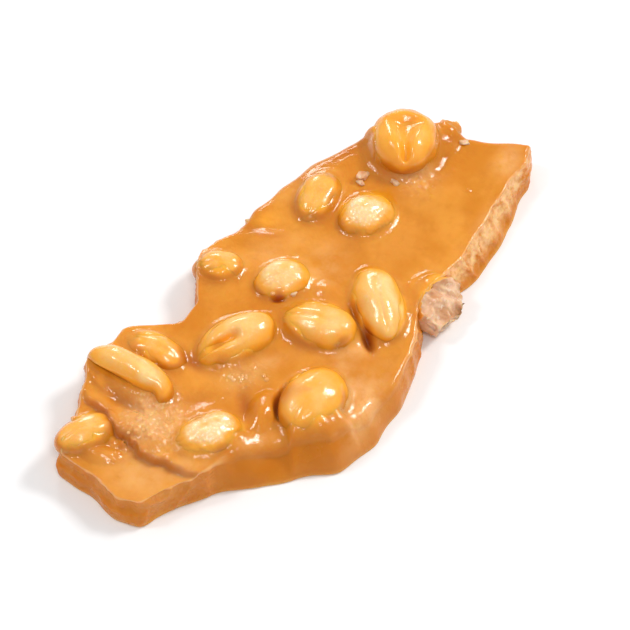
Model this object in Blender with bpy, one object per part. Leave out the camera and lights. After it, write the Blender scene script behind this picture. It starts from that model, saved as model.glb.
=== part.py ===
"""One snapped piece of peanut brittle, lying flat with its nuts upwards.

The candy is a lofted slab: rings that run from a straight spine on its top, out to the broken
edge, down the wall and back under to the spine. Each peanut is a solid of its own, set in a pocket
that is cut from the slab. Lengths in the tables are millimetres and the model is in metres; the
origin is on the surface it rests on, below the middle of its bounding box, with +X along the piece.
"""

import math
from typing import NamedTuple

import bmesh
import bpy
import numpy as np
from mathutils import Vector

MM = 0.001

# ---------------------------------------------------------------- driving sizes, in millimetres
THICKNESS = 6.0
LEFT_THICKER = 1.2  # how much thicker the piece is by its left end
LIP_DROP = 1.6  # how far the poured lip at the left end lies below the sheet
LIP_LINE = (-41.6, -1.0, 0.029)  # the step between them: its x, the y it bends back from, how much
LIP_STEP = 1.4
POCKET_GAP = 0.3
POCKET_MOUTH = 1.5  # how far a pocket runs on past a broken nut's face
COLLAR_RISE = 1.1  # candy that has crept up round each peanut
COLLAR_REACH = 2.2
SPINE = np.array([[-42.0, -2.0], [40.0, 8.5]])  # the line on the top that the slab's rings grow from
SPINE_FAN = 0.07  # share of the edge, at each tip, that looks in to the spine's very end
CORNER_SOFTNESS = 0.9  # half the stretch over which the broken line is averaged
NORMAL_SOFTNESS = 2.6  # the same for its direction, which changes more slowly

# How the broken edge runs, seen from above, anticlockwise from the left tip: x, y, how far the
# foot of the wall stands out from its top edge, and how round that top edge is.
CORNERS = np.array([
    (-51.6, 3.0, 0.3, 0.5),
    (-49.8, -3.0, 0.4, 0.4),
    (-48.9, -9.6, 0.5, 0.4),
    (-47.2, -13.0, 0.9, 0.3),
    (-35.5, -14.8, 0.8, 0.4),
    (-28.5, -15.8, 2.8, 1.4),
    (-22.0, -18.5, 3.2, 2.0),
    (-14.5, -23.0, 3.0, 2.0),
    (-7.0, -23.2, 2.0, 1.6),
    (4.0, -19.0, 0.9, 1.0),
    (10.0, -15.5, 0.7, 0.7),
    (13.5, -11.0, 1.0, 0.5),
    (22.5, -7.8, 2.0, 0.5),
    (30.0, -5.4, 3.2, 0.5),
    (38.5, -1.6, 3.2, 0.5),
    (47.5, 1.2, 1.0, 0.8),
    (51.8, 4.6, 0.0, 1.0),
    (43.4, 13.0, 0.0, 1.6),
    (43.4, 17.8, 0.2, 1.6),
    (31.0, 24.2, 0.4, 2.2),
    (17.0, 25.8, 0.4, 2.2),
    (5.5, 24.0, 0.3, 1.4),
    (-0.5, 21.6, 0.2, 0.8),
    (-8.5, 21.8, 0.2, 0.6),
    (-12.0, 18.6, 0.1, 0.6),
    (-15.2, 13.6, 0.0, 0.4),
    (-20.0, 12.3, 0.2, 0.6),
    (-28.0, 16.0, 0.4, 0.8),
    (-37.5, 15.0, 0.3, 0.8),
    (-40.8, 11.4, 0.2, 0.6),
    (-46.0, 7.6, 0.3, 0.6),
])
RIGHT_TIP = 16  # the corner where the front of the edge ends and the back begins
FRAY = ((0.33, 0.26, 0.4), (0.71, 0.17, 2.1), (1.27, 0.13, 4.4))  # waves a centimetre, height, phase

# Candy that has swollen over nuts lying deeper: x, y, length, width, direction, rise.
MOUNDS = (
    (-20.4, -11.4, 11.0, 6.0, 36.0, 1.7),
    (2.4, 16.6, 13.0, 6.0, -50.0, 0.6),
    (3.6, 1.6, 6.0, 4.5, -60.0, 0.7),
    (-38.0, -2.5, 11.0, 10.0, -70.0, 0.8),
    (34.0, 5.0, 16.0, 9.0, 20.0, 0.4),
)


class Peanut(NamedTuple):
    """A nut: its middle, its size, how it is turned in degrees, and how deep its cleft is."""

    x: float
    y: float
    z: float
    length: float
    width: float
    height: float
    yaw: float
    pitch: float = 0.0
    roll: float = 0.0
    cleft: float = 0.06
    snapped: tuple = ()  # where a broken end faces, how steeply up, its distance from the middle


PEANUTS = (
    Peanut(33.8, 17.9, 7.5, 13.8, 12.4, 9.2, 52, 12, 0, 0.30),
    Peanut(15.0, 18.6, 4.9, 12.0, 7.8, 7.0, 27, 4, 0, 0.05),
    Peanut(19.1, 10.1, 5.4, 10.4, 9.0, 7.4, -3, 6, 0, 0.06),
    Peanut(-1.0, 8.0, 5.5, 10.4, 8.2, 7.4, -14, 5, 0, 0.06),
    Peanut(8.6, -6.2, 6.5, 15.2, 9.0, 8.2, 64, 8, 0, 0.05),
    Peanut(-2.2, -3.6, 6.2, 13.4, 9.4, 8.0, -56, -6, 0, 0.08),
    Peanut(-14.9, 3.0, 6.0, 14.8, 8.8, 7.8, -8, -4, 8, 0.26),
    Peanut(-12.4, -15.0, 6.5, 13.8, 11.0, 8.6, 18, 6, 0, 0.07),
    Peanut(-30.3, -9.6, 6.0, 12.2, 8.2, 7.4, -14, 0, 0, 0.10),
    Peanut(-34.2, 7.2, 7.2, 15.6, 8.8, 5.4, -71, 0, 62, 0.24),
    Peanut(-27.2, 9.8, 5.6, 12.0, 7.0, 7.0, -67, 0, 0, 0.05),
    Peanut(-46.0, 3.4, 5.7, 11.0, 7.4, 6.6, -8, 8, 0, 0.10),
    Peanut(-7.8, 17.2, 5.2, 9.0, 7.0, 6.6, -38, 0, 0, 0.06),
    Peanut(18.0, -11.7, 4.4, 12.4, 9.8, 8.4, -66, -6, 0, 0.08, (-68, 38, 0.9)),
    Peanut(42.0, 15.8, 5.6, 5.6, 4.8, 4.8, 32, 10, 0, 0.08, (36, 10, 1.8)),
    Peanut(5.0, 20.6, 3.3, 10.0, 6.8, 5.0, 100, 0, 0, 0.06, (105, 10, 2.9)),
)

SLAB_COLUMNS = 136  # round the edge; an even number
TOP_RINGS = 9
WALL_ROWS = 2
NUT_SEGMENTS = 14
NUT_RINGS = 9
CANDY_COLOUR = (0.66, 0.27, 0.045, 1.0)
NUT_COLOUR = (0.87, 0.52, 0.17, 1.0)
BROKEN_NUT_COLOUR = (0.84, 0.62, 0.36, 1.0)


# ---------------------------------------------------------------- the broken edge

def sample_edge(count):
    """The edge at count places: point, outward normal, flare and shoulder at each.

    Place 0 is the left tip and place count / 2 the right tip. Each point is the mean of the broken
    line over a short stretch, which takes the sharpness off its corners, and sine waves fray it.
    """
    closed = np.vstack([CORNERS, CORNERS[:1]])
    steps = np.hypot(*np.diff(closed[:, :2], axis=0).T)
    run = np.concatenate([[0.0], np.cumsum(steps)])
    total = run[-1]
    half = count // 2
    front = np.linspace(0.0, run[RIGHT_TIP], half, endpoint=False)
    back = np.linspace(run[RIGHT_TIP], total, count - half, endpoint=False)
    along = np.concatenate([front, back])

    def at(distance):
        return np.stack([np.interp(distance % total, run, closed[:, k]) for k in range(4)], axis=1)

    def mean_over(stretch):
        offsets = np.linspace(-stretch, stretch, 7)
        return np.mean([at(along + offset) for offset in offsets], axis=0)

    near, wide = mean_over(CORNER_SOFTNESS), mean_over(NORMAL_SOFTNESS)
    tangent = np.roll(wide[:, :2], -1, axis=0) - np.roll(wide[:, :2], 1, axis=0)
    tangent /= np.linalg.norm(tangent, axis=1, keepdims=True)
    normal = np.stack([tangent[:, 1], -tangent[:, 0]], axis=1)
    turns = along / total * 2 * math.pi
    whole_waves = [(round(per_cm * total / 10), height, phase) for per_cm, height, phase in FRAY]
    fray = sum(height * np.sin(waves * turns + phase) for waves, height, phase in whole_waves)
    return near[:, :2] + normal * fray[:, None], normal, near[:, 2], near[:, 3]


def spine_points(count):
    """The spine point that each place on the edge looks in to: out along the front and back again."""
    half = count // 2
    ahead = np.arange(count) / half
    there_and_back = np.where(ahead <= 1, ahead, 2 - ahead)
    share = np.clip((there_and_back - SPINE_FAN) / (1 - 2 * SPINE_FAN), 0, 1)
    return SPINE[0] + share[:, None] * (SPINE[1] - SPINE[0])


# ---------------------------------------------------------------- the candy's top

def inside_ellipse(x, y, x0, y0, length, width, yaw):
    """0 at the middle of a turned ellipse and 1 on its outline."""
    turn = math.radians(yaw)
    across_x, across_y = x - x0, y - y0
    u = (across_x * math.cos(turn) + across_y * math.sin(turn)) / (length / 2)
    v = (across_y * math.cos(turn) - across_x * math.sin(turn)) / (width / 2)
    return np.hypot(u, v)


def smooth_step(value):
    value = np.clip(value, 0, 1)
    return value * value * (3 - 2 * value)


def lip_drop(x, y):
    """How far the lip lies below the sheet: a short step along a bending line, fading at its ends."""
    line_x, bend_y, bend = LIP_LINE
    past_line = x - line_x - bend * np.clip(bend_y - y, 0, None) ** 2
    fade = smooth_step((y + 19) / 9) * smooth_step((13 - y) / 8)
    return LIP_DROP * fade * (1 - smooth_step(past_line / LIP_STEP + 0.5))


def top_height(x, y):
    """Height of the candy's top: a slowly waving sheet that thickens to the left, less its lip, with
    a smooth mound over each nut that lies deep and a collar that falls away from each that shows."""
    height = THICKNESS + 0.3 * np.sin(x / 9 + 1) * np.cos(y / 7) + 0.2 * np.sin((x + y) / 13 + 2)
    height += LEFT_THICKER * smooth_step((-x - 12) / 34)
    height -= lip_drop(x, y)
    for x0, y0, length, width, yaw, rise in MOUNDS:
        inside = inside_ellipse(x, y, x0, y0, length, width, yaw)
        height += rise * np.clip(1 - inside**2, 0, None) ** 1.5
    for nut in PEANUTS:
        inside = inside_ellipse(x, y, nut.x, nut.y, nut.length, nut.width, nut.yaw)
        away = np.clip(inside - 1, 0, None) * nut.width / 2
        proud = nut.z / THICKNESS - 0.55
        height += COLLAR_RISE * proud * np.exp(-((away / COLLAR_REACH) ** 2))
    return height


# ---------------------------------------------------------------- meshes and objects

def candy_mesh():
    """The slab's rings, from the spine on top, over the edge and under to the spine again."""
    edge, normal, flare, shoulder = sample_edge(SLAB_COLUMNS)
    spine = spine_points(SLAB_COLUMNS)
    inner = edge - normal * shoulder[:, None]
    rows = []
    for share in np.linspace(0, 1, TOP_RINGS):
        flat = spine + share * (inner - spine)
        rows.append(np.column_stack([flat, top_height(*flat.T)]))
    for turn in (math.pi / 4, math.pi / 2):  # the rounded top edge
        flat = inner + normal * (shoulder * math.sin(turn))[:, None]
        drop = shoulder * (1 - math.cos(turn))
        rows.append(np.column_stack([flat, top_height(*inner.T) - drop]))
    top_edge = rows[-1]
    for share in np.arange(1, WALL_ROWS + 1) / WALL_ROWS:
        flat = top_edge[:, :2] + normal * (flare * share)[:, None]
        rows.append(np.column_stack([flat, top_edge[:, 2] * (1 - share)]))
    rows.append(np.column_stack([spine, np.zeros(SLAB_COLUMNS)]))

    mesh = bpy.data.meshes.new("candy_slab")
    faces = [
        (row * SLAB_COLUMNS + column, (row + 1) * SLAB_COLUMNS + column,
         (row + 1) * SLAB_COLUMNS + after, row * SLAB_COLUMNS + after)
        for row in range(len(rows) - 1)
        for column, after in zip(range(SLAB_COLUMNS), [*range(1, SLAB_COLUMNS), 0])
    ]
    mesh.from_pydata(np.vstack(rows) * MM, [], faces)
    form = bmesh.new()
    form.from_mesh(mesh)
    bmesh.ops.remove_doubles(form, verts=form.verts, dist=0.02 * MM)
    bmesh.ops.recalc_face_normals(form, faces=form.faces)
    form.to_mesh(mesh)
    form.free()
    return mesh


def peanut_mesh(name, nut, grow=0.0):
    """A peanut kernel: an egg with a beak at one end and a cleft along its top.

    grow makes it bigger all round, for the pocket. A snapped nut is cut off flat.
    """
    form = bmesh.new()
    bmesh.ops.create_uvsphere(form, u_segments=NUT_SEGMENTS, v_segments=NUT_RINGS, radius=1)
    ball = np.array([vertex.co for vertex in form.verts])
    along, across, up = ball[:, 2], ball[:, 0], ball[:, 1]
    girth = 1 + 0.10 * along - 0.05 * along**2
    cleft = nut.cleft * np.exp(-((across / 0.25) ** 2)) * (1 - along**2) * (up > 0)
    beak = 0.05 * np.clip(-along - 0.75, 0, None) / 0.25
    shape = np.column_stack([
        (along - beak) * (nut.length / 2 + grow),
        across * girth * (nut.width / 2 + grow),
        (up * girth - cleft) * (nut.height / 2 + grow),
    ])
    for vertex, place in zip(form.verts, shape * MM):
        vertex.co = place
    if nut.snapped:
        direction, rise = math.radians(nut.snapped[0] - nut.yaw), math.radians(nut.snapped[1])
        level = math.cos(rise)
        facing = Vector((math.cos(direction) * level, math.sin(direction) * level, math.sin(rise)))
        distance = nut.snapped[2] + (POCKET_MOUTH if grow else 0.0)
        cut = bmesh.ops.bisect_plane(
            form, geom=[*form.verts, *form.edges, *form.faces],
            plane_co=facing * distance * MM, plane_no=facing, clear_outer=True)
        rim = [item for item in cut["geom_cut"] if isinstance(item, bmesh.types.BMEdge)]
        bmesh.ops.contextual_create(form, geom=rim)
    form.normal_update()
    bmesh.ops.recalc_face_normals(form, faces=form.faces)
    mesh = bpy.data.meshes.new(name)
    form.to_mesh(mesh)
    form.free()
    mesh.shade_smooth()
    return mesh


def placed(name, mesh, nut, collection, parent):
    """An object of the peanut's mesh, turned and set where the peanut lies."""
    made = bpy.data.objects.new(name, mesh)
    made.location = (nut.x * MM, nut.y * MM, nut.z * MM)
    made.rotation_euler = (math.radians(nut.roll), math.radians(nut.pitch), math.radians(nut.yaw))
    made.parent = parent
    collection.objects.link(made)
    return made


def plain_material(name, colour, roughness):
    material = bpy.data.materials.new(name)
    material.use_nodes = True
    shader = material.node_tree.nodes["Principled BSDF"]
    shader.inputs["Base Color"].default_value = colour
    shader.inputs["Roughness"].default_value = roughness
    shader.inputs["Metallic"].default_value = 0.0
    return material


def new_collection(name):
    made = bpy.data.collections.new(name)
    bpy.context.scene.collection.children.link(made)
    return made


def centre_over_origin(piece, members):
    """Slide the whole piece until the middle of its bounding box is over the origin."""
    bpy.context.view_layer.update()
    places = np.array([
        member.matrix_world @ vertex.co for member in members for vertex in member.data.vertices
    ])
    middle = (places.min(axis=0) + places.max(axis=0)) / 2
    piece.location = (-middle[0], -middle[1], 0.0)


def main():
    for old in list(bpy.data.objects):
        bpy.data.objects.remove(old)
    parts, cutters = new_collection("nut_brittle_piece"), new_collection("pocket_cutters")
    candy = plain_material("candy", CANDY_COLOUR, 0.2)
    nut_skin = plain_material("coated_nut", NUT_COLOUR, 0.25)
    nut_inside = plain_material("broken_nut", BROKEN_NUT_COLOUR, 0.6)

    piece = bpy.data.objects.new("brittle_piece", None)
    parts.objects.link(piece)
    slab = bpy.data.objects.new("candy_slab", candy_mesh())
    slab.data.materials.append(candy)
    slab.parent = piece
    parts.objects.link(slab)

    for number, nut in enumerate(PEANUTS, start=1):
        name = f"peanut_{number:02d}"
        kernel = placed(name, peanut_mesh(name, nut), nut, parts, piece)
        kernel.data.materials.append(nut_inside if nut.snapped else nut_skin)
        pocket = placed(f"{name}_pocket", peanut_mesh(name, nut, POCKET_GAP), nut, cutters, piece)
        pocket.hide_render = True
        pocket.display_type = "WIRE"
        cut = slab.modifiers.new(f"pocket_{number:02d}", "BOOLEAN")
        cut.operation = "DIFFERENCE"
        cut.solver = "MANIFOLD"  # the exact solver loses track where a pocket grazes the broken edge
        cut.object = pocket
    slab.data.shade_smooth()
    slab.data.set_sharp_from_angle(angle=math.radians(40))
    centre_over_origin(piece, [member for member in parts.objects if member.type == "MESH"])


main()
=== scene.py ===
"""Looks of one snapped piece of peanut brittle: milky amber candy, poured thin over roasted peanuts.

Two kinds of surface are worked out as grids of points. The candy is rings that run from a spine on
its top, over the broken edge, down the wall and back underneath. A peanut is rings along a kernel.
Both know how much candy lies over the nuts, so that one fades into the other where they meet.
Lengths are millimetres until a surface becomes a mesh.
"""

import math
from typing import NamedTuple

import bmesh
import bpy
import numpy as np
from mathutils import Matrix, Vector


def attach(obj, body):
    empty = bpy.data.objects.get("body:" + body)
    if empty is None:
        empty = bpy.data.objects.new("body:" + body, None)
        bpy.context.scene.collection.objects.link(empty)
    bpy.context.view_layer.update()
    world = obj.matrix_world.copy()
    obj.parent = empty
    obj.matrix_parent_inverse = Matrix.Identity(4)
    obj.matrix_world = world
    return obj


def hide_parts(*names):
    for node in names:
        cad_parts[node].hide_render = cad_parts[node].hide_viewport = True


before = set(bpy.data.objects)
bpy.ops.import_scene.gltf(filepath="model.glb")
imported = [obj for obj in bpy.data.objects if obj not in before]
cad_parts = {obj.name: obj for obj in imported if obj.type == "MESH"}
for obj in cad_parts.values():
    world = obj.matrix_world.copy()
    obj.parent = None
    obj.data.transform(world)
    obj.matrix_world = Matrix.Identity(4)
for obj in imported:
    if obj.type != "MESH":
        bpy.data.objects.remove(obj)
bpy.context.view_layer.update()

MM = 0.001
SETTLE = np.array([0.076, -0.251, 0.0])  # moves the tables' origin to below the middle of the piece

# ---------------------------------------------------------------- the slab's sizes
THICKNESS = 6.0
LEFT_THICKER = 1.2  # how much thicker the sheet is at its left end
LIP_DROP = 1.6  # how far the lower lip at the left lies below the sheet
LIP_LINE = (-41.6, -1.0, 0.029)  # the line it drops at: its x, the y where it starts to bend, the bend
LIP_STEP = 1.0  # how wide the step down is
COLLAR_REACH = 1.1  # how fast the candy that creeps up a nut falls away from it
COLLAR_SHARE = 0.22  # its height there, as a share of how far the nut stands proud
VEIL_SHARE = 0.26  # how much higher a thin veil of it goes
VEIL_THICKNESS = 0.22
SPINE = np.array([[-42.0, -2.0], [40.0, 8.5]])  # the line that the rings of the top shrink to
SPINE_FAN = 0.07  # the share of the edge at each end that looks in to the spine's own end
CORNER_SOFTNESS = 0.7  # the edge's points are means over this far to both sides
NORMAL_SOFTNESS = 2.2  # and the ways it faces over this far
FOOT_ROUND = 0.35
UNDEFINED = -99.0  # a height that loses to every other
STEEP_FACE = 30.0  # a nut's broken face that looks up by more degrees than this can hold a veil

# The broken edge, anticlockwise from the left tip: x, y, how far the foot of the wall stands out
# from its top edge, and how round that top edge is.
CORNERS = np.array([
    (-51.6, 3.0, 0.3, 0.5),
    (-49.8, -3.0, 0.4, 0.4),
    (-48.9, -9.6, 0.5, 0.4),
    (-47.2, -13.0, 0.9, 0.3),
    (-35.5, -14.8, 0.8, 0.4),
    (-28.5, -15.8, 2.8, 1.4),
    (-22.0, -18.5, 3.2, 2.0),
    (-14.5, -23.0, 3.0, 2.0),
    (-7.0, -23.2, 2.0, 1.6),
    (4.0, -19.0, 0.9, 1.0),
    (10.0, -15.5, 0.7, 0.7),
    (13.5, -11.0, 1.0, 0.5),
    (22.5, -7.8, 2.0, 0.5),
    (30.0, -5.4, 3.2, 0.5),
    (38.5, -1.6, 3.2, 0.5),
    (47.5, 1.2, 1.0, 0.8),
    (51.8, 4.6, 0.0, 1.0),
    (43.4, 13.0, 0.0, 1.6),
    (43.4, 17.8, 0.2, 1.6),
    (31.0, 24.2, 0.4, 2.2),
    (17.0, 25.8, 0.4, 2.2),
    (5.5, 24.0, 0.3, 1.4),
    (-0.5, 21.6, 0.2, 0.8),
    (-8.5, 21.8, 0.2, 0.6),
    (-12.0, 18.6, 0.1, 0.6),
    (-15.2, 13.6, 0.0, 0.4),
    (-20.0, 12.3, 0.2, 0.6),
    (-28.0, 16.0, 0.4, 0.8),
    (-37.5, 15.0, 0.3, 0.8),
    (-40.8, 11.4, 0.2, 0.6),
    (-46.0, 7.6, 0.3, 0.6),
])
RIGHT_TIP = 16  # its place among the corners
# Waves that fray the edge: how many in 10 mm, height, phase.
FRAY = ((0.33, 0.26, 0.4), (0.71, 0.17, 2.1), (1.27, 0.13, 4.4))

# Candy that has swollen over nuts lying deeper: x, y, length, width, direction, rise.
MOUNDS = (
    (-20.4, -11.4, 11.0, 6.0, 36.0, 1.7),
    (2.4, 16.6, 13.0, 6.0, -50.0, 0.6),
    (3.6, 1.6, 6.0, 4.5, -60.0, 0.7),
    (-38.0, -2.5, 11.0, 10.0, -70.0, 0.8),
    (34.0, 5.0, 16.0, 9.0, 20.0, 0.4),
    (41.2, 15.0, 10.0, 6.4, 40.0, 1.3),
    (-26.6, -13.8, 7.5, 4.0, -32.0, 0.86),
    (-46.4, -1.4, 8.0, 4.0, -44.0, 1.0),
)
# Hollows where the candy has sunk, with shade painted into them: x, y, length, width, direction,
# depth, how much painted shade lies inside. One with no depth is only a patch of painted shade.
SHADED_HOLLOWS = (
    (3.2, -10.2, 7.0, 2.3, 64.0, 2.2, 1.0),
    (-23.4, 4.2, 9.0, 3.6, -67.0, 0.6, 0.60),
    (-21.6, -8.2, 7.0, 3.2, 60.0, 0.6, 0.60),
    (-27.0, -2.6, 8.0, 4.0, -20.0, 0.3, 0.24),
    (19.0, 1.4, 16.0, 9.0, 18.0, 0.0, 0.13),
    (24.0, 23.4, 18.0, 3.0, -8.0, 0.3, 0.35),
    (-37.4, 4.6, 9.0, 3.0, -68.0, 1.8, 0.40),
    (-40.9, -1.8, 5.0, 1.4, -60.0, 0.6, 0.3),
)
# Cracks that run round a nut's foot: the nut's number, the direction of their middle, how far they
# reach to both sides of it in degrees, width, depth, and how much shade is painted inside them.
SHADED_CRACKS = (
    (8, 140.0, 40.0, 0.42, 1.5, 0.75),
    (4, 222.0, 20.0, 0.40, 0.35, 0.9),
    (5, 172.0, 30.0, 0.45, 0.5, 0.35),
)
# Grainy places, where the candy frothed: x, y, radius, strength.
FROTH = (
    (-37.0, -3.0, 4.6, 1.0),
    (-33.5, -1.0, 3.6, 0.8),
    (-36.0, 1.0, 3.0, 0.6),
    (-19.6, -3.2, 2.6, 0.8),
    (-16.5, -4.6, 2.0, 0.6),
    (30.5, 10.5, 3.2, 0.6),
)
# Places painted paler and pinker: partly the candy's own paler bloom, partly painted sheen where light
# catches the slopes and the lip, and a painted lighter middle. x, y, length, width, direction,
# strength.
BLOOMS_AND_SHEENS = (
    (31.5, 11.8, 7.0, 3.5, -35.0, 0.7),
    (-1.0, -10.6, 7.0, 4.0, -30.0, 0.8),
    (-5.6, -20.6, 13.0, 4.5, 28.0, 1.0),
    (-4.0, -13.0, 5.0, 4.0, 60.0, 0.6),
    (-36.0, -1.5, 12.0, 8.0, -60.0, 0.7),
    (-25.0, -15.5, 6.0, 3.0, -15.0, 0.7),
    (-14.0, -3.6, 9.0, 3.0, -20.0, 0.45),
    (14.0, 22.0, 8.0, 3.0, -10.0, 0.4),
    (36.0, -3.5, 14.0, 3.0, 18.0, 0.5),
    (-43.6, -8.5, 12.0, 8.0, -60.0, 0.55),
    (-37.0, -12.4, 9.0, 4.0, -10.0, 0.5),
    (46.1, 4.2, 7.0, 4.5, 40.0, 0.65),
    (-6.5, -17.5, 10.0, 5.0, 20.0, 0.8),
    (6.5, 6.0, 12.0, 8.0, 20.0, 0.42),
    (2.0, 14.0, 12.0, 5.0, -10.0, 0.3),
)


class Peanut(NamedTuple):
    """A nut: its middle, its size, how it is turned in degrees, and what its surface is like."""

    x: float
    y: float
    z: float
    length: float
    width: float
    height: float
    yaw: float
    pitch: float = 0.0
    roll: float = 0.0
    cleft: float = 0.06  # depth of the line where its halves meet, as a share of half its height
    cleft_width: float = 0.2
    cleft_end: float = 0.9  # how far towards its blunt end that line runs
    taper: float = 0.10  # how much slimmer its beak end is
    flat: float = 0.0  # how much its upper side is flattened, as on half a kernel
    sugar: float = 0.2  # how frosted it is with grains
    film: float = 0.1  # how much candy has run over its top
    glaze: float = 0.78  # how high candy has run up its sides, as a share of how far it stands out
    snapped: tuple = ()  # broken faces: where each looks, how steeply up, its distance from the middle


PEANUTS = (
    Peanut(33.8, 17.9, 7.5, 13.8, 12.4, 9.2, 52, 12, 0, 0.40, 0.42, 0.50, taper=0.04,
           sugar=0.0, film=0.18, glaze=0.88),
    Peanut(15.0, 18.6, 4.9, 12.0, 7.8, 7.0, 27, 4, 0, 0.05, taper=0.08, film=0.22, glaze=0.9),
    Peanut(19.1, 10.1, 5.4, 10.4, 9.0, 7.4, -3, 6, 0, 0.03, taper=0.02, sugar=1.0, film=0.02,
           glaze=0.86),
    Peanut(-1.0, 8.0, 5.5, 10.4, 8.2, 7.4, -14, 5, 0, 0.04, taper=0.02, sugar=0.5, film=0.04,
           glaze=0.68),
    Peanut(8.6, -6.2, 6.5, 15.2, 9.0, 8.2, 64, 8, 0, 0.04, taper=0.17, sugar=0.3, film=0.0,
           glaze=0.60),
    Peanut(-2.2, -3.6, 6.2, 13.4, 9.4, 8.0, -56, -6, 0, 0.06, taper=0.08, film=0.08),
    Peanut(-14.9, 3.0, 6.0, 14.8, 8.8, 7.8, -8, -4, 8, 0.44, 0.25, 0.20, taper=0.04, film=0.03),
    Peanut(-12.4, -15.0, 6.5, 13.8, 11.0, 8.6, 18, 6, 0, 0.04, taper=0.05, sugar=0.1, film=0.14),
    Peanut(-30.3, -9.6, 6.0, 12.2, 8.2, 7.4, -14, 0, 0, 0.05, taper=0.04, sugar=1.1, film=0.0,
           glaze=0.86),
    Peanut(-34.0, 7.3, 7.0, 16.4, 8.8, 8.8, -71, 0, 76, 0.42, 0.62, taper=0.0, flat=0.30,
           film=0.14, glaze=0.72),
    Peanut(-27.2, 9.8, 5.6, 12.0, 7.0, 7.0, -67, 0, 0, 0.04, taper=0.08, film=0.26),
    Peanut(-46.0, 3.4, 5.7, 11.0, 7.4, 6.6, -8, 8, 0, 0.06, taper=0.05, film=0.36),
    Peanut(-7.8, 17.2, 5.2, 9.0, 7.0, 6.6, -38, 0, 0, 0.04, film=0.3),
    Peanut(18.0, -11.7, 4.4, 12.4, 11.4, 8.4, -66, -6, 0, 0.08,
           snapped=((-76, 46, 0.9), (-84, -24, 3.2), (-26, -14, 3.9), (-142, 0, 4.4))),
    Peanut(42.0, 15.8, 5.6, 5.6, 4.8, 4.8, 32, 10, 0, 0.08, film=0.8, snapped=((36, 10, 1.8),)),
    Peanut(5.0, 20.6, 3.3, 10.0, 6.8, 5.0, 100, 0, 0, 0.06, snapped=((105, 10, 2.9),)),
)

# How fine the grids of points are.
COLUMNS = 800  # round the candy's edge; an even number
TOP_ROWS = 74
SHOULDER_ROWS = 7
WALL_ROWS = 18
UNDER_ROWS = 12
NUT_AROUND = 96
NUT_ALONG = 64
BEAD_ROWS, BEAD_AROUND = 8, 14
CHIP_ROWS, CHIP_AROUND = 14, 24
BLUNTNESS = 2.25  # power of a kernel's superellipse, where 2 is an ellipse
BOXINESS = 3.5  # and of a chip's
MERGE_RINGS = 1e-6  # points closer than this, in metres, become one in the candy and the kernels
MERGE_CRUMBS = 1e-7  # and in the bubbles and chips


# ---------------------------------------------------------------- noise and easing

def smooth_step(value):
    """0 below 0, 1 above 1, and an even curve between them: 3 squares less 2 cubes."""
    value = np.clip(value, 0, 1)
    return value * value * (3 - 2 * value)


def swirl(points, wavelength, seed, waves=14):
    """Uneven noise around 0: a sum of sine waves of about one length in random directions."""
    draw = np.random.default_rng(seed)
    directions = draw.normal(size=(waves, points.shape[1]))
    directions /= np.linalg.norm(directions, axis=1, keepdims=True)
    directions /= wavelength * draw.uniform(0.7, 1.5, (waves, 1))
    phases = draw.uniform(0, 2 * math.pi, waves)
    return np.sin(points @ directions.T * 2 * math.pi + phases).sum(axis=1) / math.sqrt(waves / 2)


def crags(points, wavelength, seed):
    """Sharp-crested noise from 0 to about 1, as on a fracture: one less the size of a swirl."""
    return 1 - np.abs(np.tanh(swirl(points, wavelength, seed)))


def larger(first, second, blend):
    """The larger of two heights, raised by a parabola within a blend of where they cross."""
    crossing = np.clip(blend - np.abs(first - second), 0, None)
    return np.maximum(first, second) + crossing**2 / (4 * blend)


def smaller(first, second, blend):
    """The smaller of two heights: the larger one turned over."""
    return -larger(-first, -second, blend)


# ---------------------------------------------------------------- peanuts as fields

def turned(nut):
    """The matrix that turns a nut's own axes to the piece's: roll, then pitch, then yaw."""
    roll, pitch, yaw = np.radians([nut.roll, nut.pitch, nut.yaw])
    about_x = np.array([
        [1, 0, 0], [0, math.cos(roll), -math.sin(roll)], [0, math.sin(roll), math.cos(roll)]])
    about_y = np.array([
        [math.cos(pitch), 0, math.sin(pitch)], [0, 1, 0], [-math.sin(pitch), 0, math.cos(pitch)]])
    about_z = np.array([
        [math.cos(yaw), -math.sin(yaw), 0], [math.sin(yaw), math.cos(yaw), 0], [0, 0, 1]])
    return about_z @ about_y @ about_x


def gap_to(nut, points):
    """Distance from points to the nut's egg, found from how its quadratic form grows."""
    local = (points - [nut.x, nut.y, nut.z]) @ turned(nut)
    half = np.array([nut.length, nut.width, nut.height]) / 2
    form = np.linalg.norm(local / half, axis=1)
    slope = np.linalg.norm(local / half**2, axis=1)
    return form * (form - 1) / np.maximum(slope, 1e-6)


def seen_from_above(nut, x, y):
    """Where places lie in a nut's outline (0 middle, 1 edge), and how high its egg is over them.

    The egg is a quadratic form. Its upper root over a place gives the height, and what is left
    under the root gives how far in the place lies.
    """
    turn = turned(nut)
    half = np.array([nut.length, nut.width, nut.height]) / 2
    form = turn / half**2 @ turn.T
    dx, dy = x - nut.x, y - nut.y
    lean = (form[0, 2] * dx + form[1, 2] * dy) / form[2, 2]
    outline = form[0, 0] * dx**2 + 2 * form[0, 1] * dx * dy + form[1, 1] * dy**2
    outline = outline - lean**2 * form[2, 2]
    rise = np.sqrt(np.clip(1 - outline, 0, None) / form[2, 2])
    return np.sqrt(np.clip(outline, 1e-6, None)), nut.z + rise - lean


def inside_ellipse(x, y, x0, y0, length, width, yaw):
    """0 at the middle of a turned ellipse and 1 on its outline."""
    turn = math.radians(yaw)
    u = ((x - x0) * math.cos(turn) + (y - y0) * math.sin(turn)) / (length / 2)
    v = ((y - y0) * math.cos(turn) - (x - x0) * math.sin(turn)) / (width / 2)
    return np.hypot(u, v)


# ---------------------------------------------------------------- the candy's form

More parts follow.
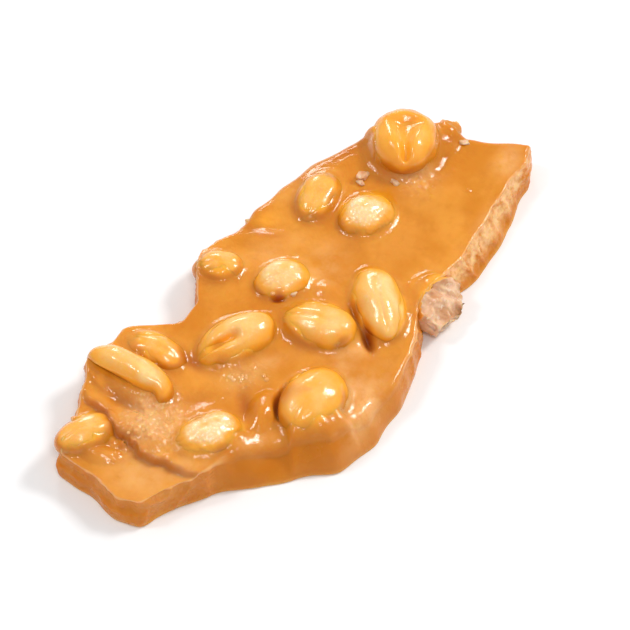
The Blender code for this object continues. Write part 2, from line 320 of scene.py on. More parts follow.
def sample_edge(count):
    """The edge at count places: point, outward normal, flare and shoulder at each.

    Place 0 is the left tip and place count / 2 the right tip. Each point is the mean of the broken
    line over a short stretch, which takes the sharpness off its corners, and sine waves fray it.
    """
    closed = np.vstack([CORNERS, CORNERS[:1]])
    steps = np.hypot(*np.diff(closed[:, :2], axis=0).T)
    run = np.concatenate([[0.0], np.cumsum(steps)])
    total = run[-1]
    half = count // 2
    front = np.linspace(0.0, run[RIGHT_TIP], half, endpoint=False)
    back = np.linspace(run[RIGHT_TIP], total, count - half, endpoint=False)
    along = np.concatenate([front, back])

    def at(distance):
        return np.stack([np.interp(distance % total, run, closed[:, k]) for k in range(4)], axis=1)

    def mean_over(stretch):
        offsets = np.linspace(-stretch, stretch, 9)
        return np.mean([at(along + offset) for offset in offsets], axis=0)

    near, wide = mean_over(CORNER_SOFTNESS), mean_over(NORMAL_SOFTNESS)
    tangent = np.roll(wide[:, :2], -1, axis=0) - np.roll(wide[:, :2], 1, axis=0)
    tangent /= np.linalg.norm(tangent, axis=1, keepdims=True)
    normal = np.stack([tangent[:, 1], -tangent[:, 0]], axis=1)
    turns = along / total * 2 * math.pi
    whole_waves = [(round(per_cm * total / 10), height, phase) for per_cm, height, phase in FRAY]
    fray = sum(height * np.sin(waves * turns + phase) for waves, height, phase in whole_waves)
    return near[:, :2] + normal * fray[:, None], normal, wide[:, 2], wide[:, 3]


def spine_points(count):
    """The spine point that each place on the edge looks in to: out along the front and back again."""
    half = count // 2
    ahead = np.arange(count) / half
    there_and_back = np.where(ahead <= 1, ahead, 2 - ahead)
    share = np.clip((there_and_back - SPINE_FAN) / (1 - 2 * SPINE_FAN), 0, 1)
    return SPINE[0] + share[:, None] * (SPINE[1] - SPINE[0])


def lip_fall(x, y):
    """How far past the lip's bending line a place lies, and how the step fades at the line's ends."""
    line_x, bend_y, bend = LIP_LINE
    past_line = x - line_x - bend * np.clip(bend_y - y, 0, None) ** 2
    past_line = past_line + 0.35 * np.sin(y * 0.85 + 0.5) + 0.12 * np.sin(y * 2.3 + 1)
    return past_line, smooth_step((y + 19) / 9) * smooth_step((13 - y) / 8)


def lip_drop(x, y):
    """How far the lip lies below the sheet: a short step down."""
    past_line, fade = lip_fall(x, y)
    return LIP_DROP * fade * (1 - smooth_step(past_line / LIP_STEP + 0.5))


def froth_at(x, y):
    """How grainy the candy is, from 0 to 1."""
    strength = sum(
        much * np.exp(-(((x - x0) ** 2 + (y - y0) ** 2) / radius**2))
        for x0, y0, radius, much in FROTH)
    return np.clip(strength, 0, 1)


def sheet_height(x, y):
    """Height of the poured sheet: slowly waving, thicker to the left, less its lip, with mounds."""
    height = THICKNESS + 0.3 * np.sin(x / 9 + 1) * np.cos(y / 7) + 0.2 * np.sin((x + y) / 13 + 2)
    height = height + LEFT_THICKER * smooth_step((-x - 12) / 34)
    height = height - lip_drop(x, y)
    for x0, y0, length, width, yaw, rise in MOUNDS:
        inside = inside_ellipse(x, y, x0, y0, length, width, yaw)
        height = height + rise * np.clip(1 - inside**2, 0, None) ** 1.5
    return height


def cracks_at(number, x, y, away):
    """How far open the cracks round one nut are, and how much shade is painted into them."""
    opening, darkness = np.zeros_like(x), np.zeros_like(x)
    for nut_number, middle, spread, width, depth, painted_shade in SHADED_CRACKS:
        if nut_number != number:
            continue
        nut = PEANUTS[number - 1]
        bearing = np.degrees(np.arctan2(y - nut.y, x - nut.x)) - middle
        bearing = (bearing + 180) % 360 - 180
        along = np.clip(1 - (bearing / spread) ** 2, 0, None)
        across = np.exp(-(((away - 0.35 * width) / width) ** 2))
        opening = opening + depth * along * across
        darkness = darkness + painted_shade * along**1.5 * across
    return opening, darkness


def standing_proud(nut):
    """How far a nut's crown stands above the sheet."""
    turn = turned(nut)
    half = np.array([nut.length, nut.width, nut.height]) / 2
    return max(nut.z + np.linalg.norm(turn[2] * half) - sheet_height(nut.x, nut.y), 1.0)


def top_surface(x, y):
    """Height of the candy's top, and how much shade is painted on it: in its cracks and hollows, below
    the lip's step and round each nut's foot.

    Round each nut the candy creeps up in a collar that falls away exponentially, and goes on over the
    nut's egg as a thin veil up to some height, above which it lies within the nut and the nut shows.
    A broken face that looks up steeply bounds the veil, and past any other there is none.
    """
    sheet = sheet_height(x, y)
    past_line, fade = lip_fall(x, y)
    # Painted shade below the lip's step, towards the piece's left end.
    painted_shade = 0.55 * fade * np.exp(-(((past_line + 0.2) / 0.75) ** 2)) * smooth_step((-8 - x) / 20)
    height, cut = sheet, np.zeros_like(sheet)
    for number, nut in enumerate(PEANUTS, start=1):
        inside, egg = seen_from_above(nut, x, y)
        away = np.hypot(x - nut.x, y - nut.y) * (1 - 1 / np.maximum(inside, 1))
        proud = standing_proud(nut)
        collar = sheet + COLLAR_SHARE * proud * np.exp(-away / COLLAR_REACH)
        bearing = np.arctan2(y - nut.y, x - nut.x)
        uneven = 1 + 0.25 * np.sin(3 * bearing + number) + 0.15 * np.sin(7 * bearing + 2 * number)
        veil = (COLLAR_SHARE + VEIL_SHARE * uneven) * proud + 2.2 * nut.film
        thickness = VEIL_THICKNESS * (1 - np.clip((egg - sheet) / veil, 0, 3))
        over = np.where(inside < 1, smaller(egg + thickness, sheet + veil, 0.5), UNDEFINED)
        if nut.flat:
            over = np.full_like(over, UNDEFINED)
        for look, rise, distance in nut.snapped:
            direction, climb = math.radians(look), math.radians(rise)
            facing = math.cos(direction) * (x - nut.x) + math.sin(direction) * (y - nut.y)
            if rise > STEEP_FACE:
                face = (distance - facing * math.cos(climb)) / math.sin(climb)
                over = np.minimum(over, nut.z + face - 0.2)
            else:
                over = np.where(facing > distance - 0.5, UNDEFINED, over)
        opening, darkness = cracks_at(number, x, y, away)
        # Painted shade round the foot of each nut, strongest on the side away from the key light.
        shadow_side = 0.06 + 0.20 * np.cos(bearing - math.radians(205))
        within = np.clip(1 - inside, 0, None) / 0.22
        darkness = darkness + np.clip(shadow_side, 0, 1) * np.exp(-((away / 0.9) ** 2) - within**2)
        height = larger(height, larger(collar, over, 0.5) - opening, 0.3)
        cut, painted_shade = np.maximum(cut, opening), np.maximum(painted_shade, darkness)
    height = height - cut
    # Each hollow sinks the top and paints shade into it.
    for x0, y0, length, width, yaw, depth, darkness in SHADED_HOLLOWS:
        sunk = np.exp(-(inside_ellipse(x, y, x0, y0, length, width, yaw) ** 2) * 1.6)
        height = height - depth * sunk
        painted_shade = np.maximum(painted_shade, darkness * sunk)
    return height, np.clip(painted_shade, 0, 1)


def top_height(x, y):
    """Height of the candy's top alone."""
    return top_surface(x, y)[0]


def cover_at(points):
    """How much candy hides the nuts at points on the candy.

    It hides them wholly away from them, and near one only as much as that nut's own film does at
    that height; the change falls off exponentially with the distance to the nut.
    """
    nut_gaps = np.array([gap_to(nut, points) for nut in PEANUTS])
    nearest = np.argmin(nut_gaps, axis=0)
    gap = np.clip(np.min(nut_gaps, axis=0), 0, None)
    films = np.array([nut.film for nut in PEANUTS])[nearest]
    glazes = np.array([nut.glaze for nut in PEANUTS])[nearest]
    proud = np.array([standing_proud(nut) for nut in PEANUTS])[nearest]
    return 1 - (1 - film_at(points, proud, films, glazes)) * np.exp(-gap / 0.8)


def climb_at(points, proud):
    """How high points lie on a nut: 0 where it leaves the sheet and about 1 on its crown."""
    return np.clip((points[:, 2] - sheet_height(points[:, 0], points[:, 1])) / proud, 0, None)


def film_at(points, proud, film, glaze):
    """How much the film on a nut hides it: less the higher it has climbed, and a little patchy."""
    fading = 0.90 * np.exp(-((climb_at(points, proud) / glaze) ** 2.6))
    return np.clip(film + fading + 0.09 * swirl(points, 4.5, 20), 0, 1)


def candy_rings():
    """The slab's rings before their fine relief: rows of points, and how broken each row's place is.

    A point of the top lies part of the way from the spine to the edge. The shoulder is a quarter
    turn, the wall leans out by its flare, and the underside goes back in to the spine.
    """
    edge, normal, flare, shoulder = sample_edge(COLUMNS)
    spine = spine_points(COLUMNS)
    broken = smooth_step((1.25 - shoulder) / 0.6)
    poured = (1 - broken) * smooth_step((4 - edge[:, 0]) / 8) * smooth_step(-edge[:, 1] / 8)
    reach = shoulder * (1 + 0.75 * poured)
    drop = shoulder * (1 + 0.45 * poured)
    inner = edge - normal * reach[:, None]
    ledge = 0.5 * smooth_step((-44 - edge[:, 0]) / 2.5)
    rows, walls, under = [], [], []

    def add(flat, height, wall, below=0.0):
        rows.append(np.column_stack([flat, height]))
        walls.append(np.full(COLUMNS, wall))
        under.append(np.full(COLUMNS, below))

    for share in np.linspace(0, 1, TOP_ROWS) ** 0.93:
        flat = spine + share * (inner - spine)
        add(flat, top_height(*flat.T), 0.0)
    for turn in np.linspace(0, math.pi / 2, SHOULDER_ROWS + 1)[1:]:
        flat = inner + normal * (reach * math.sin(turn))[:, None]
        add(flat, top_height(*inner.T) - drop * (1 - math.cos(turn)), math.sin(turn) ** 3)
    top_edge = rows[-1]
    for share in np.arange(1, WALL_ROWS + 1) / WALL_ROWS:
        belly = 0.25 * shoulder * math.sin(math.pi * share)
        tuck = FOOT_ROUND * np.clip((share - 0.94) / 0.06, 0, None) ** 2
        out = flare * share + belly - tuck + ledge * smooth_step((share - 0.35) / 0.15)
        add(top_edge[:, :2] + normal * out[:, None], top_edge[:, 2] * (1 - share), 1.0)
    foot = rows[-1][:, :2]
    for share in np.arange(1, UNDER_ROWS + 1) / UNDER_ROWS:
        add(foot + share * (spine - foot), np.zeros(COLUMNS), 0.0, 1.0)
    return np.array(rows), np.array(walls), np.array(under), broken


def grid_normals(rows):
    """Outward normals of a grid that closes on itself along each row: the cross of its two ways."""
    along = np.roll(rows, -1, axis=1) - np.roll(rows, 1, axis=1)
    down = np.gradient(rows, axis=0)
    normal = np.cross(down, along)
    length = np.linalg.norm(normal, axis=2, keepdims=True)
    return normal / np.maximum(length, 1e-9)


def bubbles(points, seed, count, weights, radii, heights):
    """Low domes at places drawn at random among the points, likelier where the weight is high.

    A dome's height is the power 1.5 of one less the square of the way out to its rim.
    """
    draw = np.random.default_rng(seed)
    picked = draw.choice(len(points), count, replace=False, p=weights / weights.sum())
    relief = np.zeros(len(points))
    domes = zip(points[picked], draw.uniform(*radii, count), draw.uniform(*heights, count))
    for centre, radius, height in domes:
        near = np.abs(points[:, 0] - centre[0]) < radius
        away = np.linalg.norm(points[near] - centre, axis=1) / radius
        relief[near] += height * np.clip(1 - away**2, 0, None) ** 1.5
    return relief


def candy_surface():
    """The candy with its relief, and the masks its material reads.

    The relief is noise and domes along the normals: gentle on the top, grainy where it frothed, and
    crags on the broken wall, with pits and a slight unevenness underneath.
    """
    rows, walls, under, broken = candy_rings()
    normals = grid_normals(rows)
    points, normal = rows.reshape(-1, 3), normals.reshape(-1, 3)
    wall, under = walls.ravel(), under.ravel()
    broken = np.tile(broken, len(rows))
    top = (1 - wall) * (1 - under)
    x, y, z = points.T
    froth = froth_at(x, y) * top
    snapped = wall * broken
    # The crystalline break at the right end: its paler colour is partly its own, partly painted light
    # on the wall that faces the key.
    crystal_lit_side = snapped * smooth_step((x - 19) / 5) * smooth_step((z - 1.2) / 2.5)

    relief = top * (0.05 * swirl(points, 9, 1) + 0.010 * swirl(points, 2.6, 2))
    relief += froth * (0.07 * swirl(points, 1.6, 3) + 0.03 * swirl(points, 0.8, 4))
    inner_wall = wall * smooth_step(z / 1.4)
    relief += top * 0.05 * swirl(points, 4.2, 9) * smooth_step((14 - x) / 16)
    relief += inner_wall * broken * 0.50 * (crags(points * [1, 1, 0.8], 6.0, 5) - 0.5)
    relief += inner_wall * broken * 0.14 * (crags(points, 2.4, 15) - 0.5)
    relief += inner_wall * 0.05 * swirl(points * [1, 1, 0.6], 3.2, 8)
    relief += crystal_lit_side * (0.24 * (crags(points, 2.2, 6) - 0.5) + 0.07 * swirl(points, 0.9, 7))
    weights = np.where(z > 1, 0.004 + froth + 0.25 * crystal_lit_side, 0) * (1 - under)
    relief += bubbles(points, 11, 240, weights, (0.45, 0.9), (0.06, 0.2))
    relief -= bubbles(points, 12, 60, weights, (0.4, 0.9), (0.06, 0.16))
    points = points + normal * relief[:, None]

    pits = bubbles(points, 13, 220, under + 1e-9, (0.5, 1.6), (0.08, 0.3))
    unevenness = 0.06 * np.clip(swirl(points[:, :2], 14, 14), 0, None)
    points[:, 2] += under * smooth_step(under) * (pits + unevenness)
    points[:, 2] = np.maximum(points[:, 2], 0)

    cover = np.where(under > 0.5, 1.0, cover_at(points))
    painted_shade = top_surface(x, y)[1] * top * cover
    # Painted glow: a bright yellow line along the foot of the wall, standing in for light through the
    # thin edge.
    rim = wall * np.exp(-((z / 0.55) ** 2)) * (1 - under)
    # Paler bloom, partly the candy's own and partly painted sheen.
    bloom_and_sheen = np.zeros_like(x)
    for x0, y0, length, width, yaw, strength in BLOOMS_AND_SHEENS:
        place = inside_ellipse(x, y, x0, y0, length, width, yaw)
        bloom_and_sheen = np.maximum(bloom_and_sheen, strength * np.exp(-(place**2)))
    return points, {
        "cover": cover,
        "side": wall,
        "snapped": snapped,
        "froth": froth,
        "painted_shade": painted_shade,
        "crystal_lit_side": crystal_lit_side,
        # Painted highlight along the broken edges, where the top turns down into the wall.
        "arris_highlight": 4 * wall * (1 - wall) * broken,
        "slope": wall * (1 - broken),
        "rim": rim,
        "bloom_and_sheen": bloom_and_sheen,
    }


# ---------------------------------------------------------------- the peanuts' form

def kernel_surface(nut, seed):
    """A peanut kernel as rings from beak to blunt end, and the masks its material reads.

    Along the kernel and out from its axis the outline is a superellipse, a little blunter than an
    ellipse, that slims to the beak. A cleft where its halves meet runs along its upper side. Low
    noise makes each one its own.
    """
    turn = np.linspace(0, math.pi, NUT_ALONG)[:, None]
    around = np.linspace(0, 2 * math.pi, NUT_AROUND, endpoint=False)[None, :]
    power = 2 / (BLUNTNESS + nut.flat)
    along = -np.sign(np.cos(turn)) * np.abs(np.cos(turn)) ** power
    radius = np.clip(np.sin(turn), 0, None) ** power
    across, up = radius * np.cos(around), radius * np.sin(around)
    along = along + 0 * around
    girth = (1 + nut.taper * along - 0.05 * along**2) / (1 + 0.4 * nut.taper)
    narrowing = 0.3 + 0.7 * smooth_step((along + 1) / (nut.cleft_end + 1))
    groove = np.exp(-((across / (nut.cleft_width * narrowing)) ** 2)) * smooth_step(up / 0.3)
    groove *= smooth_step((nut.cleft_end - along) / 0.3) * smooth_step((along + 1.02) / 0.2)
    upper = up * np.where(up > 0, 1 - nut.flat, 1)
    beak = 0.05 * np.clip(-along - 0.75, 0, None) / 0.25
    shape = np.stack([
        (along - beak) * nut.length / 2,
        across * girth * nut.width / 2,
        (upper * girth - nut.cleft * groove) * nut.height / 2,
    ], axis=2)
    normals = grid_normals(shape)
    if np.mean(np.sum(normals * shape, axis=2)) < 0:
        normals = -normals
    points, normal = shape.reshape(-1, 3), normals.reshape(-1, 3)
    wrinkles = points * [0.35, 1, 1]
    relief = 0.10 * swirl(points, 6, seed) + 0.030 * swirl(wrinkles, 1.5, seed + 50)
    relief += nut.sugar * 0.03 * swirl(points, 0.9, seed + 80)
    relief *= np.clip(1 - along.ravel() ** 2, 0, None) ** 0.5
    points = points + normal * relief[:, None]
    rough = np.zeros(len(points))
    if nut.snapped:
        points, rough = snap_off(points, nut, seed)
    points = points @ turned(nut).T + [nut.x, nut.y, nut.z]
    proud = standing_proud(nut)
    film = film_at(points, proud, nut.film, nut.glaze) * (1 - rough)
    crown = smooth_step((climb_at(points, proud) - 0.55) / 0.35)
    masks = {
        "film": film,
        # The candy's painted shade, carried on to the nut where its film covers it.
        "painted_shade": film * top_surface(points[:, 0], points[:, 1])[1],
        "groove": np.clip(groove.ravel() * min(1.0, nut.cleft * 4), 0, 1),
        "snapped": rough,
        "froth": nut.sugar * crown,
    }
    return points, masks


def snap_off(points, nut, seed):
    """Press what lies past each broken face back on to it, and roughen the face with crags.

    The first face is the main break and is the roughest.
    """
    rough = np.zeros(len(points))
    for number, (look, climb, distance) in enumerate(nut.snapped):
        direction, rise = math.radians(look), math.radians(climb)
        level = math.cos(rise)
        facing = np.array([math.cos(direction) * level, math.sin(direction) * level, math.sin(rise)])
        facing = facing @ turned(nut)
        past = points @ facing - distance
        splinters = points * [0.35, 1, 0.5]
        swing = (0.14 if number == 0 else 0.06) * nut.width
        uneven = swing * (crags(splinters, 4.6, seed + number) - 0.5)
        uneven += 0.1 * swing * swirl(splinters, 1.2, seed + 6)
        face = points - facing * (past - uneven)[:, None]
        points = np.where((past > 0)[:, None], face, points)
        rough = np.maximum(rough, smooth_step(past / 0.3 + 0.5))
    return points, rough


# ---------------------------------------------------------------- beads and chips

# Clusters of small bubbles: x, y, spread along, spread across, direction, how many, largest radius.
BEADS = (
    (-19.5, -2.8, 2.6, 1.0, -25.0, 10, 0.60),
    (-16.2, -4.8, 1.6, 0.7, -40.0, 6, 0.55),
    (-3.8, 6.2, 1.0, 0.6, -20.0, 4, 0.60),
    (-37.5, -2.5, 3.2, 2.2, -60.0, 12, 0.60),
    (-33.0, -1.5, 2.4, 1.6, 0.0, 6, 0.55),
    (30.5, 10.4, 2.6, 1.0, -30.0, 5, 0.45),
)
# Chips of broken nut that lie in the candy: x, y, how high they sit, length, width, thickness,
# direction, tilt.
CHIPS = (
    (23.8, 17.2, 0.35, 2.6, 1.4, 0.9, 20.0, 25.0),
    (22.6, 16.4, 0.20, 1.4, 0.9, 0.7, 80.0, 10.0),
    (27.4, 12.6, 0.15, 1.7, 0.8, 0.6, -60.0, 20.0),
    (42.6, 12.0, 0.10, 2.0, 0.9, 0.6, -30.0, 15.0),
    (-1.6, 4.2, 0.05, 1.0, 0.7, 0.5, 10.0, 0.0),
)


def ball_grid(rows, columns):
    """A ball of radius 1: rings from one pole to the other."""
    turn = np.linspace(0, math.pi, rows)[:, None]
    around = np.linspace(0, 2 * math.pi, columns, endpoint=False)[None, :]
    across = [np.sin(turn) * np.cos(around), np.sin(turn) * np.sin(around)]
    return np.stack([*across, np.cos(turn) + 0 * around], axis=2)


def beads_surface():
    """Small bubbles, each a slightly flat ball sunk about halfway into the candy's top."""
    draw = np.random.default_rng(31)
    ball = ball_grid(BEAD_ROWS, BEAD_AROUND)
    places, radii = [], []
    for x, y, along, across, yaw, count, largest in BEADS:
        spread = draw.normal(size=(count, 2)) * [along, across] * 0.6
        turned_by = math.radians(yaw)
        places.append(np.stack([
            x + spread[:, 0] * math.cos(turned_by) - spread[:, 1] * math.sin(turned_by),
            y + spread[:, 0] * math.sin(turned_by) + spread[:, 1] * math.cos(turned_by)], axis=1))
        radii.append(largest * draw.uniform(0.35, 1.0, count))
    places, radii = np.concatenate(places), np.concatenate(radii)
    height = top_height(*places.T) - 0.5 * radii
    centres = np.column_stack([places, height])[:, None, None, :]
    balls = centres + ball * radii[:, None, None, None] * [1, 1, 0.85]
    return balls, {"cover": 1.0, "bloom_and_sheen": 1.0, "froth": froth_at(*places.T)[:, None]}


def chips_surface():
    """Crumbs of nut: balls swollen towards the corners of a box, then uneven, stretched and tilted."""
    ball = ball_grid(CHIP_ROWS, CHIP_AROUND)
    swollen = np.sum(np.abs(ball) ** BOXINESS, axis=2, keepdims=True) ** (1 / BOXINESS)
    flat = (ball / swollen).reshape(-1, 3)
    lumps = []
    for number, (x, y, lift, length, width, thickness, yaw, tilt) in enumerate(CHIPS):
        uneven = 1 + 0.16 * swirl(flat, 1.6, 60 + number) + 0.05 * swirl(flat, 0.6, 90 + number)
        uneven[:CHIP_AROUND] = uneven[:CHIP_AROUND].mean()
        uneven[-CHIP_AROUND:] = uneven[-CHIP_AROUND:].mean()
        size = np.array([length, width, thickness]) / 2
        lean = Peanut(0, 0, 0, 1, 1, 1, yaw, tilt, tilt / 2)
        lump = (flat * uneven[:, None] * size) @ turned(lean).T
        height = top_height(np.array([x]), np.array([y]))[0] + lift
        lumps.append((lump + [x, y, height]).reshape(ball.shape))
    return np.array(lumps)


# ---------------------------------------------------------------- meshes

def grids_mesh(name, grids, masks, material, slot, merged):
    """One mesh of closed grids of the same layout, whose rows are rings that shrink to a pole or seam.

    A mask has one value for all of the mesh, one for each grid, or one for each point.
    """
    count, rows, columns, _ = grids.shape
    column = np.arange(columns)
    after = np.roll(column, -1)
    start = (np.arange(rows - 1) * columns)[:, None]
    ring = np.stack([
        start + column, start + after, start + columns + after, start + columns + column], axis=2)
    quads = ring.reshape(1, -1, 4) + (np.arange(count) * rows * columns)[:, None, None]
    mesh = bpy.data.meshes.new(name)
    mesh.from_pydata(((grids.reshape(-1, 3) + SETTLE) * MM), [], quads.reshape(-1, 4))
    for mask, value in masks.items():
        layer = mesh.attributes.new(mask, "FLOAT", "POINT")
        values = np.broadcast_to(np.asarray(value, np.float32), (count, rows * columns))
        layer.data.foreach_set("value", values.ravel())
    close_up(mesh, merged)
    made = bpy.data.objects.new(name, mesh)
    bpy.context.scene.collection.objects.link(made)
    mesh.materials.append(material)
    mesh.shade_smooth()
    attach(made, "root")
    return made


def grid_mesh(name, points, columns, masks, material, replaces, slot):
    """A single grid that takes the place of a node."""
    grids = points.reshape(1, -1, columns, 3)
    made = grids_mesh(name, grids, masks, material, slot, MERGE_RINGS)
    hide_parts(replaces)
    return made


def show_sides(mesh):
    """Give the faces whose corners all lie on the candy's sides its second material."""
    values = np.empty(len(mesh.vertices), np.float32)
    mesh.attributes["side"].data.foreach_get("value", values)
    corners = np.empty(len(mesh.loops), np.int32)
    mesh.loops.foreach_get("vertex_index", corners)
    starts = np.empty(len(mesh.polygons), np.int32)
    mesh.polygons.foreach_get("loop_start", starts)
    sides = np.minimum.reduceat(values[corners], starts) > 0.7
    mesh.polygons.foreach_set("material_index", sides.astype(np.int32))


def close_up(mesh, within):
    """Merge the points that coincide at a seam or pole, and turn the faces outwards."""
    form = bmesh.new()
    form.from_mesh(mesh)
    bmesh.ops.remove_doubles(form, verts=form.verts, dist=within)
    bmesh.ops.dissolve_degenerate(form, edges=form.edges, dist=within)
    form.normal_update()
    bmesh.ops.recalc_face_normals(form, faces=form.faces)
    form.to_mesh(mesh)
    form.free()


# ---------------------------------------------------------------- materials

class Nodes:
    """A short way to add nodes to a tree and join them."""

    def __init__(self, tree):
        self.tree = tree

    def feed(self, socket, value):
        """Join a socket to an output, or set its value."""
        if isinstance(value, bpy.types.NodeSocket):
            self.tree.links.new(value, socket)
        else:
            socket.default_value = value

    def add(self, kind, settings=None, **inputs):
        """A new node. Its inputs go by name, or by number as i0, i1 and so on."""
        node = self.tree.nodes.new(kind)
        for key, value in (settings or {}).items():
            setattr(node, key, value)
        for key, value in inputs.items():
            number = key[0] == "i" and key[1:].isdigit()
            self.feed(node.inputs[int(key[1:]) if number else key.replace("_", " ")], value)
        return node

    def math(self, operation, first, second=0.0, third=0.0):
        node = self.add("ShaderNodeMath", {"operation": operation}, i0=first, i1=second, i2=third)
        return node.outputs[0]

    def times(self, first, second):
        return self.math("MULTIPLY", first, second)

    def mix(self, factor, first, second):
        node = self.add("ShaderNodeMix", {"data_type": "RGBA"}, i0=factor, i6=first, i7=second)
        return node.outputs[2]

    def mask(self, name):
        return self.add("ShaderNodeAttribute", {"attribute_name": name}).outputs["Fac"]

    def noise(self, vector, scale, detail=2.0, roughness=0.5):
        node = self.add(
            "ShaderNodeTexNoise", Vector=vector, Scale=scale, Detail=detail, Roughness=roughness)
        return node.outputs["Fac"]

    def ramp(self, value, low, high):
        """0 below the low value, 1 above the high one, and an even curve between."""
        settings = {"clamp": True, "interpolation_type": "SMOOTHSTEP"}
        node = self.add("ShaderNodeMapRange", settings, Value=value, From_Min=low, From_Max=high)
        return node.outputs["Result"]


# Colours, in linear light.
CANDY = (0.68, 0.232, 0.007, 1)
CANDY_PALE = (0.80, 0.320, 0.030, 1)
CANDY_DEEP = (0.55, 0.150, 0.003, 1)
NUT = (1.0, 0.56, 0.150, 1)
NUT_PALE = (1.0, 0.685, 0.28, 1)
NUT_DEEP = (0.88, 0.30, 0.030, 1)
AMBER_FILM = (1.0, 0.42, 0.030, 1)
# Painted shade on the walls, which face away from the key light and look deeper.
CANDY_WALL_SHADE = (0.60, 0.150, 0.003, 1)
CANDY_BEIGE = (0.92, 0.50, 0.19, 1)
CANDY_BROWN = (0.60, 0.170, 0.008, 1)
CANDY_CHALK = (0.97, 0.60, 0.27, 1)
# Painted shade: the colour mixed in where shade is painted into cracks, hollows, the lip's step and
# round the nuts' feet.
CANDY_PAINTED_SHADE = (0.40, 0.062, 0.001, 1)
CUT_NUT = (0.88, 0.58, 0.36, 1)
CUT_NUT_DEEP = (0.66, 0.32, 0.14, 1)
NUT_FLAKE = (1.0, 0.84, 0.66, 1)
FROST = (1.0, 0.84, 0.55, 1)
TABLE_WHITE = (0.95, 0.955, 0.96, 1)
RED_GOES_DEEPEST = (1.0, 0.30, 0.06)  # how far light of each colour gets inside, as shares
SUGAR_DEPTH = 0.0018  # of this many metres
FLESH_DEPTH = 0.0015  # or of this in broken nut


def new_group(name, output, **inputs):
    """An empty node group with one output and named inputs, and a short way to fill it."""
    group = bpy.data.node_groups.new(name, "ShaderNodeTree")
    for key, kind in inputs.items():
        group.interface.new_socket(key, in_out="INPUT", socket_type=f"NodeSocket{kind}")
    kind = "Color" if output == "Color" else "Float"
    group.interface.new_socket(output, in_out="OUTPUT", socket_type=f"NodeSocket{kind}")
    return Nodes(group), group.nodes.new("NodeGroupInput").outputs


def close_group(nodes, output):
    """Join what a group puts out to its output."""
    nodes.tree.links.new(output, nodes.tree.nodes.new("NodeGroupOutput").inputs[0])
    return nodes.tree


def tint_group(name, base, other, fleck, slow, fine, share):
    """A colour that slow noise turns into another, with flecks of a third.

    Each noise is its scale, detail and roughness, and where its ramp starts and ends.
    """
    nodes, entry = new_group(name, "Color", Vector="Vector")
    slow = nodes.ramp(nodes.noise(entry["Vector"], *slow[:3]), *slow[3:])
    fine = nodes.ramp(nodes.noise(entry["Vector"], *fine[:3]), *fine[3:])
    colour = nodes.mix(slow, base, other)
    return close_group(nodes, nodes.mix(nodes.times(fine, share), colour, fleck))


def film_group():
    """Colour of a nut under candy: bare, then glowing amber through a thin film, then hidden."""
    nodes, entry = new_group("film_over_nut", "Color", Nut="Color", Candy="Color", Film="Float")
    thin = nodes.ramp(entry["Film"], 0.0, 0.62)
    thick = nodes.ramp(entry["Film"], 0.64, 1.0)
    glazed = nodes.mix(thin, entry["Nut"], AMBER_FILM)
    return close_group(nodes, nodes.mix(thick, glazed, entry["Candy"]))


def grain_group():
    """Height of sugar grains and pinholes: fine noise less cells, which are deeper in the froth."""
    nodes, entry = new_group("sugar_grain", "Height", Vector="Vector", Froth="Float")
    cells = nodes.add(
        "ShaderNodeTexVoronoi", {"feature": "SMOOTH_F1"}, Vector=entry["Vector"], Scale=1500.0)
    grains = nodes.times(cells.outputs["Distance"], entry["Froth"])
    peel = nodes.times(nodes.noise(entry["Vector"], 900.0, 3.0, 0.6), 0.55)
    return close_group(nodes, nodes.math("SUBTRACT", peel, grains))


def use(nodes, group, **inputs):
    """What a node group puts out for these inputs."""
    node = nodes.tree.nodes.new("ShaderNodeGroup")
    node.node_tree = group
    for key, socket in inputs.items():
        nodes.tree.links.new(socket, node.inputs[key])
    return node.outputs[0]


def new_material(name):
    """A material, a short way to its nodes, its shader, and places on the piece."""
    material = bpy.data.materials.new(name)
    material.use_nodes = True
    nodes = Nodes(material.node_tree)
    shader = material.node_tree.nodes["Principled BSDF"]
    place = nodes.add("ShaderNodeTexCoord").outputs["Object"]
    return material, nodes, shader, place


def sugar_body(shader, weight, depth):
    """Constants of milky sugar: light goes in a little way and comes out redder."""
    shader.inputs["Subsurface Weight"].default_value = weight
    shader.inputs["Subsurface Radius"].default_value = RED_GOES_DEEPEST
    shader.inputs["Subsurface Scale"].default_value = depth
    shader.inputs["IOR"].default_value = 1.5


def bump(nodes, shader, height, distance):
    """Let a height, in metres once it is multiplied by the distance, turn the normals."""
    node = nodes.add("ShaderNodeBump", Height=height, Distance=distance, Strength=1.0)
    nodes.tree.links.new(node.outputs["Normal"], shader.inputs["Normal"])


